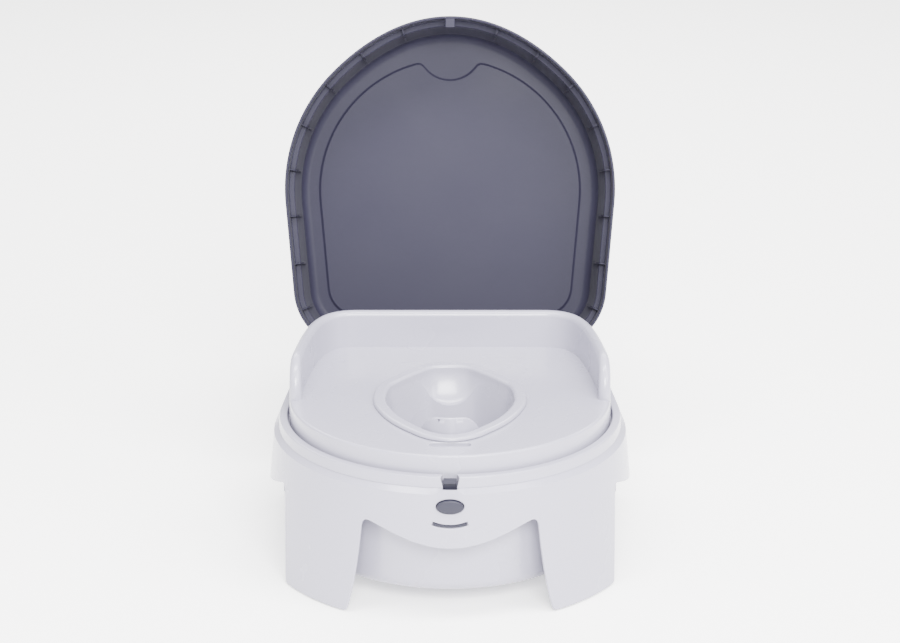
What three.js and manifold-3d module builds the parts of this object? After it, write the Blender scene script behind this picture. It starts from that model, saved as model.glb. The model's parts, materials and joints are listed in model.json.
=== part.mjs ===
// Potty training chair: a white base on four legs, a seat ring with a low backrest and arms, a bowl
// that lifts out of the seat, and a hinged lid that doubles as a step when it is shut.
// Millimetres, +Z up, the front faces -Y. The lid stands open, leaning back on its stops.

import * as THREE from "three";
import { mergeVertices } from "three/addons/utils/BufferGeometryUtils.js";
import Module from "manifold-3d";

const wasm = await Module();
wasm.setup();

// Plan of the base: a half circle at the front, sides that taper, and two rear corners.
const FRONT_RADIUS = 180;
const SIDE_TAPER = THREE.MathUtils.degToRad(5.2);
const REAR_EDGE = 175;
const REAR_CORNER = 67;
const LOOP_STEPS = 60;

// Heights above the floor.
const SKIRT_FOOT = 1.5;
const SHOULDER = 137.3;
const NECK_TOP = 148.5;
const SEAT_LEDGE = 140;
const WELL_FLOOR = 18; // underside of the well
const SEAT_TOP = 166.3;
const WALL_TOP = 206;
const LID_LIP = 137.6;
const LID_TOP = 214.6;

// The gap left between touching pieces.
const GAP = 0.3;
const SHEET = 3;

// How far the skirt stands outside the shoulder line at the floor.
const FLARE = 13.7;

// The front wave of the apron and the legs, seen from the front.
const APRON_LOW = 78;
const ARCH_TOP = 99.2;
const SIDE_ARCH_TOP = 98.8;

// Seat: the middle of its wall, and the half width of that wall.
const SEAT_RADIUS = 157.7;
const SEAT_REAR = 147.3;
const SEAT_REAR_STRAIGHT = 98;
const WALL_HALF = 6;
const WALL_SKIN = 2.7;
const ARM_FRONT = -18;
const ARM_RISE = 38;

// Bowl.
const BOWL_FLOOR = 30;
const BOWL_CENTRE = -25;
const BOWL_TAPER = 0.26;
const SCOOP_HALF = 29; // the rear scoop in the bowl
const SCOOP_TOP = 163;
const SCOOP_DROP = 30;
const SCOOP_REACH = 15;
const SCOOP_ROWS = 7;
const RIM_WIDTH = 13;
const GUARD_TOP = 186;

// Lid: the front of its lip bulges for the fingers.
const BULGE = 7.4;
const BULGE_ANGLE = THREE.MathUtils.degToRad(45);
const LID_SKIN = 3;
const PANEL_INSET = 33;
const PANEL_DROP = 1.5;
const RIB_THICKNESS = 1.8;
const RIB_SPACES = 23;

// Lid hinge.
const HINGE_Y = 179.1;
const HINGE_Z = 145.8;
const LIP_SWING = 12.5; // how far the inside of the lip's rear is from the hinge axis, and a gap
const LID_OPEN = THREE.MathUtils.degToRad(107.56);
const HINGE_X = 70;
const EAR_WIDTH = 6;
const EAR_RADIUS = 3.8;
const KNUCKLE_LENGTH = 30;
const KNUCKLE_RADIUS = 4.6;
const PIN_RADIUS = 1.6;
const BORE_RADIUS = 1.9;

// Lid latch: a rocker behind the front of the skirt.
const LATCH_PIVOT_Z = 101.5;
const BUTTON_Z = 120.4;
const BUTTON_HALF_WIDTH = 13.1;
const BUTTON_HALF_HEIGHT = 6.9;
const BUTTON_FACE = -184.3;
const ROCKER_FRONT = -173;
const ROCKER_BACK = -170.8;
const TONGUE_HALF = 6.6;
const TONGUE_TOP = 146.1;
const TONGUE_UNDERSIDE = 142.8;
const TONGUE_TIP = -177.5;
const CATCH_TIP = -175.3;
const SLOT_HALF = 7.2;
const SMILE_RADIUS = 48.8;
const SMILE_HALF_ANGLE = Math.asin(16 / SMILE_RADIUS);

const X = new THREE.Vector3(1, 0, 0);
const Y = new THREE.Vector3(0, 1, 0);
const Z = new THREE.Vector3(0, 0, 1);

const white = new THREE.MeshStandardMaterial({ color: 0xdcdce6, roughness: 0.3, metalness: 0 });
const slate = new THREE.MeshStandardMaterial({ color: 0x6c6c80, roughness: 0.42, metalness: 0 });
const grey = new THREE.MeshStandardMaterial({ color: 0x828494, roughness: 0.4, metalness: 0 });
const rubber = new THREE.MeshStandardMaterial({ color: 0x55555f, roughness: 0.85, metalness: 0 });
const steel = new THREE.MeshStandardMaterial({ color: 0xb9bcc0, roughness: 0.3, metalness: 1 });

// A closed geometry as a solid that can be joined and cut.
function solid(geometry) {
  const bare = geometry.index ? geometry.toNonIndexed() : geometry.clone();
  bare.deleteAttribute("normal");
  bare.deleteAttribute("uv");
  const merged = mergeVertices(bare, 1e-3);
  return new wasm.Manifold(new wasm.Mesh({
    numProp: 3,
    vertProperties: merged.attributes.position.array,
    triVerts: new Uint32Array(merged.index.array),
  }));
}

function join(first, ...others) {
  return others.reduce((whole, next) => whole.add(next), first);
}

function cut(first, ...others) {
  return others.reduce((whole, next) => whole.subtract(next), first);
}

// A named mesh of a joined solid.
function mesh(name, joined, material) {
  const made = joined.getMesh();
  const geometry = new THREE.BufferGeometry();
  geometry.setAttribute("position", new THREE.BufferAttribute(made.vertProperties, 3));
  geometry.setIndex(new THREE.BufferAttribute(made.triVerts, 1));
  geometry.computeVertexNormals();
  const piece = new THREE.Mesh(geometry, material);
  piece.name = name;
  return piece;
}

// Equally spaced points of a closed curve that starts at the front centre and runs towards +X,
// each with the direction that leads straight out of the curve.
function loopOf(curve, steps) {
  return Array.from({ length: steps }, (_, i) => {
    const at = curve.getPointAt(i / steps);
    const along = curve.getTangentAt(i / steps);
    return { x: at.x, y: at.y, outX: along.y, outY: -along.x };
  });
}

// The loop moved straight out, as the points of a shape.
function outline(loop, out) {
  return loop.map((p) => new THREE.Vector2(p.x + out * p.outX, p.y + out * p.outY));
}

// A wall carried round a loop: its closed profile is a list of [distance outside the loop, height].
function ring(loop, profile) {
  const axisRadius = 500;
  const points = [...profile, profile[0]].map(([out, z]) => new THREE.Vector2(axisRadius + out, z));
  const geometry = new THREE.LatheGeometry(points, loop.length);
  geometry.rotateX(Math.PI / 2);
  const position = geometry.getAttribute("position");
  for (let i = 0; i < position.count; i += 1) {
    const turn = Math.atan2(position.getX(i), -position.getY(i)) / (2 * Math.PI);
    const p = loop[Math.round((turn + 1) * loop.length) % loop.length];
    const out = Math.hypot(position.getX(i), position.getY(i)) - axisRadius;
    position.setXY(i, p.x + out * p.outX, p.y + out * p.outY);
  }
  return solid(geometry);
}

// A flat plate with the given plan.
function plate(points, low, high) {
  const geometry = new THREE.ExtrudeGeometry(new THREE.Shape(points), { depth: high - low, bevelEnabled: false });
  return solid(geometry.translate(0, 0, low));
}

// A shape drawn in X and Z, seen from the front, and extruded from one Y to another.
function frontExtrude(shape, from, to, curveSegments = 12) {
  const geometry = new THREE.ExtrudeGeometry(shape, { depth: to - from, bevelEnabled: false, curveSegments });
  geometry.applyMatrix4(new THREE.Matrix4().makeBasis(X, Z, Y.clone().negate()));
  return solid(geometry.translate(0, to, 0));
}

// A shape drawn in Y and Z, seen from the side, and extruded from one X to another.
function sideExtrude(shape, from, to, curveSegments = 12) {
  const geometry = new THREE.ExtrudeGeometry(shape, { depth: to - from, bevelEnabled: false, curveSegments });
  geometry.applyMatrix4(new THREE.Matrix4().makeBasis(Y, Z, X));
  return solid(geometry.translate(from, 0, 0));
}

function box(lowX, highX, lowY, highY, lowZ, highZ) {
  const geometry = new THREE.BoxGeometry(highX - lowX, highY - lowY, highZ - lowZ);
  return solid(geometry.translate((lowX + highX) / 2, (lowY + highY) / 2, (lowZ + highZ) / 2));
}

// A round bar along X on the hinge axis.
function hingeBar(centreX, length, radius, segments = 20) {
  const geometry = new THREE.CylinderGeometry(radius, radius, length, segments);
  return solid(geometry.rotateZ(Math.PI / 2).translate(centreX, HINGE_Y, HINGE_Z));
}

// The closed plan of the base.
function basePlan() {
  const tangentX = FRONT_RADIUS * Math.cos(SIDE_TAPER);
  const tangentY = FRONT_RADIUS * Math.sin(SIDE_TAPER);
  const cornerY = REAR_EDGE - REAR_CORNER;
  const cornerStartY = cornerY + REAR_CORNER * Math.sin(SIDE_TAPER);
  const cornerStartX = tangentX - (cornerStartY - tangentY) * Math.tan(SIDE_TAPER);
  const cornerX = cornerStartX - REAR_CORNER * Math.cos(SIDE_TAPER);
  const path = new THREE.Path();
  path.absarc(0, 0, FRONT_RADIUS, -Math.PI / 2, SIDE_TAPER, false);
  path.lineTo(cornerStartX, cornerStartY);
  path.absarc(cornerX, cornerY, REAR_CORNER, SIDE_TAPER, Math.PI / 2, false);
  path.lineTo(-cornerX, REAR_EDGE);
  path.absarc(-cornerX, cornerY, REAR_CORNER, Math.PI / 2, Math.PI - SIDE_TAPER, false);
  path.lineTo(-tangentX, tangentY);
  path.absarc(0, 0, FRONT_RADIUS, Math.PI - SIDE_TAPER, (3 * Math.PI) / 2, false);
  return path;
}

// The closed plan of the middle of the seat's wall.
function seatPlan() {
  const startX = SEAT_RADIUS * Math.cos(SIDE_TAPER);
  const startY = SEAT_RADIUS * Math.sin(SIDE_TAPER);
  const sideReach = 105;
  const rearReach = 40;
  const reachX = startX - sideReach * Math.sin(SIDE_TAPER);
  const reachY = startY + sideReach * Math.cos(SIDE_TAPER);
  const path = new THREE.Path();
  path.absarc(0, 0, SEAT_RADIUS, -Math.PI / 2, SIDE_TAPER, false);
  path.bezierCurveTo(
    reachX, reachY,
    SEAT_REAR_STRAIGHT + rearReach, SEAT_REAR,
    SEAT_REAR_STRAIGHT, SEAT_REAR,
  );
  path.lineTo(-SEAT_REAR_STRAIGHT, SEAT_REAR);
  path.bezierCurveTo(
    -SEAT_REAR_STRAIGHT - rearReach, SEAT_REAR,
    -reachX, reachY,
    -startX, startY,
  );
  path.absarc(0, 0, SEAT_RADIUS, Math.PI - SIDE_TAPER, (3 * Math.PI) / 2, false);
  return path;
}

// The closed plan of the bowl's rim: a rounded body with a lobe at the front and at the back.
function bowlPlan() {
  const half = [
    [0, -131], [23, -123], [41, -105], [58, -82], [71, -54], [78, -23],
    [73, 20], [61, 39], [43, 62], [24, 80], [0, 84.5],
  ];
  const otherHalf = half.slice(1, -1).reverse().map(([x, y]) => [-x, y]);
  const points = [...half, ...otherHalf].map(([x, y]) => new THREE.Vector3(x, y, 0));
  return new THREE.CatmullRomCurve3(points, true, "centripetal");
}

// A point of the base's loop moved out to the lid's loop, which bulges at the front.
function bulged(p) {
  const turn = Math.min(Math.abs(Math.atan2(p.x, -p.y)) / BULGE_ANGLE, 1);
  const out = (BULGE * (1 + Math.cos(Math.PI * turn))) / 2;
  return { ...p, x: p.x + out * p.outX, y: p.y + out * p.outY };
}

const baseLoop = loopOf(basePlan(), LOOP_STEPS);
const seatLoop = loopOf(seatPlan(), LOOP_STEPS);
const bowlLoop = loopOf(bowlPlan(), 44);
const lidLoop = baseLoop.map(bulged);

// The opening between the front legs, under the wave of the apron.
function frontArch() {
  const shape = new THREE.Shape();
  shape.moveTo(-104, -10);
  shape.lineTo(-102.5, 0);
  shape.quadraticCurveTo(-92, 40, -86.5, 93);
  shape.quadraticCurveTo(-85.4, 101.6, -78, ARCH_TOP);
  shape.bezierCurveTo(-50, 88, -28, APRON_LOW, 0, APRON_LOW);
  shape.bezierCurveTo(28, APRON_LOW, 50, 88, 78, ARCH_TOP);
  shape.quadraticCurveTo(85.4, 101.6, 86.5, 93);
  shape.quadraticCurveTo(92, 40, 102.5, 0);
  shape.lineTo(104, -10);
  return frontExtrude(shape, -260, -60, 6);
}

// The opening between the two legs of each side, under the same wave.
function sideArches() {
  const shape = new THREE.Shape();
  shape.moveTo(-101, -10);
  shape.lineTo(-99.5, 0);
  shape.quadraticCurveTo(-91, 45, -80.6, 92);
  shape.quadraticCurveTo(-79.3, 102.2, -71, SIDE_ARCH_TOP);
  shape.bezierCurveTo(-42, 88, -16, APRON_LOW, 12, APRON_LOW);
  shape.bezierCurveTo(40, APRON_LOW, 66, 88, 95, SIDE_ARCH_TOP);
  shape.quadraticCurveTo(103.3, 102.2, 104.6, 92);
  shape.quadraticCurveTo(115, 45, 127, 0);
  shape.lineTo(128.5, -10);
  return sideExtrude(shape, -260, 260, 5);
}

// The opening between the rear legs.
function rearArch() {
  const shape = new THREE.Shape();
  shape.moveTo(-109, -10);
  shape.lineTo(-108, 0);
  shape.lineTo(-94, 102);
  shape.quadraticCurveTo(-92.8, 108, -86, 108);
  shape.lineTo(86, 108);
  shape.quadraticCurveTo(92.8, 108, 94, 102);
  shape.lineTo(108, 0);
  shape.lineTo(109, -10);
  return frontExtrude(shape, 100, 260, 4);
}

// The skirt with its legs, the shoulder, the neck and the ledge that carries the seat.
function skirt() {
  const whole = ring(baseLoop, [
    [FLARE, SKIRT_FOOT],
    [0.1, SHOULDER - 1.1],
    [-0.9, SHOULDER],
    [-4.8, SHOULDER + 0.3],
    [-5.2, SHOULDER + 1.1],
    [-6, NECK_TOP - 1.4],
    [-7.3, NECK_TOP],
    [-12.4, NECK_TOP],
    [-13.6, NECK_TOP - 1.1],
    [-13.6, SEAT_LEDGE],
    [-18.6, SEAT_LEDGE],
    [-18.6, SHOULDER - SHEET],
    [-2.7, SHOULDER - SHEET],
    [10.2, 7],
    [-1, 7],
    [-1, 4],
    [10.4, 4],
    [FLARE - SHEET, SKIRT_FOOT],
  ]);
  // The rear of the neck keeps clear of the lid's lip as it swings by.
  const swing = hingeBar(0, 256, LIP_SWING).intersect(box(-150, 150, 160, 200, SHOULDER + 0.8, 160));
  return cut(whole, frontArch(), sideArches(), rearArch(), swing);
}

// The well that hangs inside the skirt and holds the bowl.
function well() {
  const wall = ring(baseLoop, [
    [-31, WELL_FLOOR],
    [-26, WELL_FLOOR + 1.2],
    [-21.4, WELL_FLOOR + 5.8],
    [-19.2, WELL_FLOOR + 13],
    [-15.6, SHOULDER - SHEET + GAP],
    [-15.6, SEAT_LEDGE - 2],
    [-18.6, SEAT_LEDGE - 2],
    [-22.1, WELL_FLOOR + 14],
    [-24.2, WELL_FLOOR + 8.2],
    [-27.5, WELL_FLOOR + 4.4],
    [-31, WELL_FLOOR + 3],
  ]);
  return join(wall, plate(outline(baseLoop, -30.5), WELL_FLOOR, WELL_FLOOR + 3));
}

// One hinge ear: it holds the pin, and its heel stops the open lid.
function ear(centreX) {
  const lean = LID_OPEN - Math.PI / 2;
  const upY = Math.sin(lean);
  const upZ = Math.cos(lean);
  const heel = 5.2;
  const shape = new THREE.Shape();
  shape.moveTo(HINGE_Y - 4.6, 128);
  shape.lineTo(HINGE_Y - EAR_RADIUS, SHOULDER + 0.5);
  shape.lineTo(HINGE_Y - EAR_RADIUS, HINGE_Z);
  shape.absarc(HINGE_Y, HINGE_Z, EAR_RADIUS, Math.PI, Math.PI / 2 - lean, true);
  shape.lineTo(HINGE_Y + EAR_RADIUS * upY + heel * upZ, HINGE_Z + EAR_RADIUS * upZ - heel * upY);
  shape.lineTo(HINGE_Y + EAR_RADIUS * upY + heel * upZ, HINGE_Z - 10);
  shape.lineTo(HINGE_Y - 1.5, 118);
  shape.lineTo(HINGE_Y - 3.5, 118);
  return sideExtrude(shape, centreX - EAR_WIDTH / 2, centreX + EAR_WIDTH / 2, 8);
}

// A curved bar like a smile, with square ends, as a shape seen from the front.
function smile(halfThickness, extraAngle) {
  const centreZ = LATCH_PIVOT_Z - 1.2 + SMILE_RADIUS;
  const from = -Math.PI / 2 - SMILE_HALF_ANGLE - extraAngle;
  const to = -Math.PI / 2 + SMILE_HALF_ANGLE + extraAngle;
  const shape = new THREE.Shape();
  shape.absarc(0, centreZ, SMILE_RADIUS + halfThickness, from, to, false);
  shape.absarc(0, centreZ, SMILE_RADIUS - halfThickness, to, from, true);
  return shape;
}

function oval(halfWidth, halfHeight) {
  const shape = new THREE.Shape();
  shape.absellipse(0, BUTTON_Z, halfWidth, halfHeight, 0, 2 * Math.PI, false, 0);
  return shape;
}

function baseShell() {
  const earOffset = (KNUCKLE_LENGTH + EAR_WIDTH) / 2 + GAP;
  const earXs = [-HINGE_X, HINGE_X].flatMap((x) => [x - earOffset, x + earOffset]);
  const springSeat = new THREE.CylinderGeometry(2.6, 2.6, 3, 12).rotateX(Math.PI / 2);
  const bores = [-HINGE_X, HINGE_X].map((x) => hingeBar(x, 60, BORE_RADIUS));
  return cut(
    join(skirt(), well(), ...earXs.map(ear), solid(springSeat.translate(0, -164.9, BUTTON_Z))),
    ...bores,
    frontExtrude(oval(BUTTON_HALF_WIDTH + 0.5, BUTTON_HALF_HEIGHT + 0.5), -190, -174, 8),
    frontExtrude(smile(1.8, 0.02), -190, -174, 5),
    box(-SLOT_HALF, SLOT_HALF, -180, -166, SHOULDER + 0.1, TONGUE_TOP + 0.7),
    box(-SLOT_HALF, SLOT_HALF, -178.2, -166.6, SHOULDER - SHEET - 1, SHOULDER + 1),
  );
}

// A rubber pad under the flange of one leg, given the block of plan that the leg stands in.
function footPad(name, lowX, highX, lowY, highY) {
  const whole = ring(baseLoop, [[9.8, 0], [9.8, 4 - GAP], [0.2, 4 - GAP], [0.2, 0]]);
  return mesh(name, whole.intersect(box(lowX, highX, lowY, highY, -1, 10)), rubber);
}

// The U-shaped wall that forms the arms and the backrest, between an outer and an inner face.
function armWall(half, low, centreZ, start, rise) {
  const steps = 5;
  const crown = Array.from({ length: steps + 1 }, (_, i) => {
    const angle = (Math.PI * i) / steps;
    return [(half - 0.6) * Math.cos(angle), centreZ + (half - 0.6) * Math.sin(angle)];
  });
  const whole = ring(seatLoop, [[half + 0.4, low], ...crown, [-half - 0.4, low]]);
  const side = new THREE.Shape();
  side.moveTo(start, 100);
  side.lineTo(start, SEAT_TOP + 1);
  side.absellipse(start + rise, SEAT_TOP + 1, rise, WALL_TOP - SEAT_TOP, Math.PI, Math.PI / 2, true, 0);
  side.lineTo(260, WALL_TOP + 1);
  side.lineTo(260, 100);
  return whole.intersect(sideExtrude(side, -260, 260, 8));
}

// A shallow finger dip in the seat beside the bowl's rim.
function fingerDip(lowY, highY) {
  return {
    pan: box(-23, 23, lowY - 3, highY + 3, SEAT_TOP - 8, SEAT_TOP - 1),
    dip: box(-20, 20, lowY, highY, SEAT_TOP - 5, SEAT_TOP + 2),
  };
}

function seatRing() {
  const rim = ring(seatLoop, [
    [6.9, SEAT_LEDGE + GAP],
    [6.5, SEAT_TOP - 2.5],
    [5.8, SEAT_TOP - 0.7],
    [4.2, SEAT_TOP],
    [-9, SEAT_TOP],
    [-9, SEAT_TOP - SHEET],
    [3.3, SEAT_TOP - SHEET],
    [3.9, SEAT_LEDGE + GAP],
  ]);
  const top = plate(outline(seatLoop, -8.5), SEAT_TOP - SHEET, SEAT_TOP);
  const crownZ = WALL_TOP - WALL_HALF + 0.6;
  const wall = armWall(WALL_HALF, SEAT_TOP - SHEET, crownZ, ARM_FRONT, ARM_RISE);
  const hollow = armWall(WALL_HALF - WALL_SKIN, SEAT_TOP - 20, crownZ - 0.2, ARM_FRONT + 4, ARM_RISE);
  const rearDip = fingerDip(76, 92);
  const frontDip = fingerDip(-141, -122);
  return cut(
    join(rim, top, wall, rearDip.pan, frontDip.pan),
    plate(outline(bowlLoop, -6), SEAT_TOP - 20, SEAT_TOP + 5),
    hollow,
    rearDip.dip,
    frontDip.dip,
  );
}

// Narrows the bowl towards its floor, about the middle of its plan, and leads its rear wall forward
// in a scoop under the rim.
function shapedBowl(bowl) {
  return bowl.warp((vertex) => {
    const lobe = vertex[1] > 0 ? Math.max(0, 1 - (vertex[0] / SCOOP_HALF) ** 2) : 0;
    const fall = THREE.MathUtils.clamp((SCOOP_TOP - vertex[2]) / SCOOP_DROP, 0, 1);
    const forward = (SCOOP_REACH * lobe * (1 - Math.cos(Math.PI * fall))) / 2;
    const depth = Math.max(0, SEAT_TOP - 3 - vertex[2]) / (SEAT_TOP - BOWL_FLOOR);
    const scale = 1 - BOWL_TAPER * depth;
    vertex[0] *= scale;
    vertex[1] = BOWL_CENTRE + (vertex[1] - forward - BOWL_CENTRE) * scale;
  });
}

function pottyBowl() {
  const rimLow = SEAT_TOP + GAP;
  const steps = [];
  for (let row = 0; row <= SCOOP_ROWS; row += 1) {
    steps.push(SCOOP_TOP - (SCOOP_DROP * row) / SCOOP_ROWS);
  }
  const outerSteps = steps.map((z) => [-10.5, z]).reverse();
  const innerSteps = steps.map((z) => [-RIM_WIDTH, z]);
  const wall = ring(bowlLoop, [
    [-15, BOWL_FLOOR],
    [-10.5, BOWL_FLOOR + 4.5],
    ...outerSteps,
    [-10.5, rimLow - 1.5],
    [-9, rimLow],
    [-0.6, rimLow],
    [0, rimLow + 1],
    [-2.4, rimLow + 3.4],
    [-7, rimLow + 4.2],
    [-11.6, rimLow + 3.2],
    [-RIM_WIDTH, rimLow + 0.6],
    ...innerSteps,
    [-RIM_WIDTH, BOWL_FLOOR + 5.2],
    [-15, BOWL_FLOOR + 2.6],
  ]);
  const floor = plate(outline(bowlLoop, -14.6), BOWL_FLOOR, BOWL_FLOOR + 2.6);
  const guardWall = ring(bowlLoop, [
    [-12.2, SEAT_TOP - 4],
    [-12.8, GUARD_TOP],
    [-15.6, GUARD_TOP],
    [-15.4, SEAT_TOP - 4],
  ]);
  const face = new THREE.Shape();
  face.moveTo(-29, SEAT_TOP - 8);
  face.lineTo(-28.5, SEAT_TOP + 3);
  face.quadraticCurveTo(-20, GUARD_TOP - 0.4, -14, GUARD_TOP - 0.4);
  face.lineTo(14, GUARD_TOP - 0.4);
  face.quadraticCurveTo(20, GUARD_TOP - 0.4, 28.5, SEAT_TOP + 3);
  face.lineTo(29, SEAT_TOP - 8);
  const guard = guardWall.intersect(frontExtrude(face, -145, -70, 5));
  return join(shapedBowl(join(wall, floor)), guard);
}

// One stiffening rib between the lid's lip and its wall, standing across the lid's plan at a loop point.
function lidRib(p) {
  const shape = new THREE.Shape();
  shape.moveTo(-2.2, 149.8);
  shape.lineTo(-10.8, 149.8);
  shape.lineTo(-12.6, 160);
  shape.lineTo(-13.3, 190);
  shape.lineTo(-11, 190);
  shape.lineTo(-8, 162);
  shape.lineTo(-2.2, 157.5);
  const geometry = new THREE.ExtrudeGeometry(shape, { depth: RIB_THICKNESS, bevelEnabled: false });
  const outward = new THREE.Vector3(p.outX, p.outY, 0);
  const across = new THREE.Vector3().crossVectors(outward, Z);
  geometry.translate(0, 0, -RIB_THICKNESS / 2);
  geometry.applyMatrix4(new THREE.Matrix4().makeBasis(outward, Z, across));
  return solid(geometry.translate(p.x, p.y, 0));
}

// The panel's plan: the lid's outline moved in, with a round bite out of its front.
function panel(inset, bite, low, high) {
  const biteGeometry = new THREE.CylinderGeometry(bite, bite, high - low + 2, 24).rotateX(Math.PI / 2);
  const biteSolid = solid(biteGeometry.translate(0, -158, (low + high) / 2));
  return cut(plate(outline(baseLoop, -inset), low, high), biteSolid);
}

// The lid as it stands when it is shut.
function lidShell() {
  const wall = ring(lidLoop, [
    [0, LID_LIP],
    [-0.4, 156],
    [-1.6, 159],
    [-6.6, 161],
    [-11.8, LID_TOP - 7],
    [-14.2, LID_TOP - 2],
    [-18.5, LID_TOP],
    [-24, LID_TOP],
    [-24, LID_TOP - LID_SKIN],
    [-18, LID_TOP - LID_SKIN],
    [-16, LID_TOP - 4],
    [-14.6, LID_TOP - 8],
    [-9.7, 158.2],
    [-4.4, 157.6],
    [-3.3, 156],
    [-2.8, LID_LIP],
  ]);
  const top = plate(outline(lidLoop, -23.5), LID_TOP - LID_SKIN, LID_TOP);
  const panelLow = LID_TOP - LID_SKIN - PANEL_DROP;
  const ribLoop = loopOf(basePlan(), RIB_SPACES).map(bulged);
  const ribs = ribLoop.filter((p) => Math.abs(p.x) > 20 && p.y < 150).map(lidRib);
  const knuckles = [-HINGE_X, HINGE_X].map((x) => join(
    hingeBar(x, KNUCKLE_LENGTH, KNUCKLE_RADIUS),
    box(x - KNUCKLE_LENGTH / 2, x + KNUCKLE_LENGTH / 2, REAR_EDGE - 1.5, HINGE_Y, HINGE_Z - 4, HINGE_Z + 4),
  ));
  const bores = [-HINGE_X, HINGE_X].map((x) => hingeBar(x, 60, BORE_RADIUS));
  const catchShape = new THREE.Shape();
  catchShape.moveTo(-186, LID_LIP + 0.4);
  catchShape.lineTo(CATCH_TIP, LID_LIP + 0.4);
  catchShape.lineTo(CATCH_TIP, TONGUE_UNDERSIDE - 0.8);
  catchShape.lineTo(-182, TONGUE_UNDERSIDE - 0.8);
  catchShape.lineTo(-186, 147);
  return cut(
    join(wall, top, panel(PANEL_INSET, 34, panelLow, LID_TOP), ...ribs, ...knuckles, sideExtrude(catchShape, -5, 5)),
    panel(PANEL_INSET + 1.5, 35.5, panelLow + LID_SKIN, LID_TOP + 5),
    ...bores,
  );
}

function stepMat() {
  const low = LID_TOP - PANEL_DROP + GAP;
  return panel(PANEL_INSET + 1.8, 35.8, low, low + 2.5);
}

// The rocker: button, tongue and foot in one piece, at rest.
function latchRocker() {
  const plateShape = new THREE.Shape();
  plateShape.moveTo(-16, 99.5);
  plateShape.lineTo(16, 99.5);
  plateShape.lineTo(16, 128);
  plateShape.lineTo(11, 133);
  plateShape.lineTo(-11, 133);
  plateShape.lineTo(-16, 128);
  const wedge = new THREE.Shape();
  wedge.moveTo(ROCKER_FRONT + 0.5, TONGUE_UNDERSIDE);
  wedge.lineTo(TONGUE_TIP, TONGUE_UNDERSIDE);
  wedge.lineTo(TONGUE_TIP, TONGUE_UNDERSIDE + 0.6);
  wedge.lineTo(ROCKER_FRONT + 0.5, TONGUE_TOP);
  return join(
    frontExtrude(plateShape, ROCKER_FRONT, ROCKER_BACK),
    box(-TONGUE_HALF, TONGUE_HALF, ROCKER_FRONT, ROCKER_BACK, 132, TONGUE_TOP),
    sideExtrude(wedge, -TONGUE_HALF, TONGUE_HALF),
    frontExtrude(oval(BUTTON_HALF_WIDTH, BUTTON_HALF_HEIGHT), BUTTON_FACE, ROCKER_FRONT + 0.5, 8),
    frontExtrude(oval(BUTTON_HALF_WIDTH + 2.4, BUTTON_HALF_HEIGHT + 2.4), -176.6, ROCKER_FRONT + 0.5, 8),
    frontExtrude(smile(1.1, 0), -183.3, ROCKER_FRONT + 0.5, 5),
  );
}

// The coil spring between the rocker and the seat on the well.
function latchSpring() {
  const radius = 3.9;
  const wire = 0.45;
  const turns = 3;
  const from = ROCKER_BACK + GAP + wire;
  const to = -165 - GAP - wire;
  const points = Array.from({ length: 12 * turns + 1 }, (_, i) => {
    const angle = (2 * Math.PI * i) / 12;
    const y = from + ((to - from) * i) / (12 * turns);
    return new THREE.Vector3(radius * Math.cos(angle), y, BUTTON_Z + radius * Math.sin(angle));
  });
  const section = new THREE.Shape();
  section.absarc(0, 0, wire, 0, 2 * Math.PI, false);
  const route = new THREE.CatmullRomCurve3(points);
  return solid(new THREE.ExtrudeGeometry(section, { steps: 14 * turns, curveSegments: 3, extrudePath: route }));
}

const chair = new THREE.Group();
chair.add(
  mesh("base_shell", baseShell(), white),
  footPad("foot_pad_front_left", -160, -108, -170, -106),
  footPad("foot_pad_front_right", 108, 160, -170, -106),
  footPad("foot_pad_rear_left", -200, -114, 134, 200),
  footPad("foot_pad_rear_right", 114, 200, 134, 200),
  mesh("seat_ring", seatRing(), white),
  mesh("potty_bowl", pottyBowl(), white),
  mesh("latch_rocker", latchRocker(), grey),
  mesh("latch_spring", latchSpring(), steel),
);

[["left", -HINGE_X], ["right", HINGE_X]].forEach(([side, x]) => {
  const pinLength = KNUCKLE_LENGTH + 2 * EAR_WIDTH;
  chair.add(mesh(`hinge_pin_${side}`, hingeBar(x, pinLength, PIN_RADIUS, 16), steel));
});

// The lid is drawn shut, then turned back about its hinge.
const lid = new THREE.Group();
const shut = new THREE.Group();
shut.position.set(0, -HINGE_Y, -HINGE_Z);
shut.add(mesh("lid_shell", lidShell(), slate), mesh("step_mat", stepMat(), rubber));
lid.add(shut);
lid.position.set(0, HINGE_Y, HINGE_Z);
lid.rotation.x = -LID_OPEN;
chair.add(lid);

// The origin is on the floor, in the middle of the chair's overall box with the lid open.
chair.updateMatrixWorld(true);
const bounds = new THREE.Box3().setFromObject(chair, true);
chair.position.y = -(bounds.min.y + bounds.max.y) / 2;

export default chair;
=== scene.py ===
"""The looks of the potty training chair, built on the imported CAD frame.

Shapes are drawn in millimetres about the middle of the front half circle of the base, as in the CAD,
and are moved into the frame, in metres, when a piece is made.
"""

import json
import math

import bmesh
import bpy
import numpy as np
from mathutils import Matrix, Vector, geometry


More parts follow.
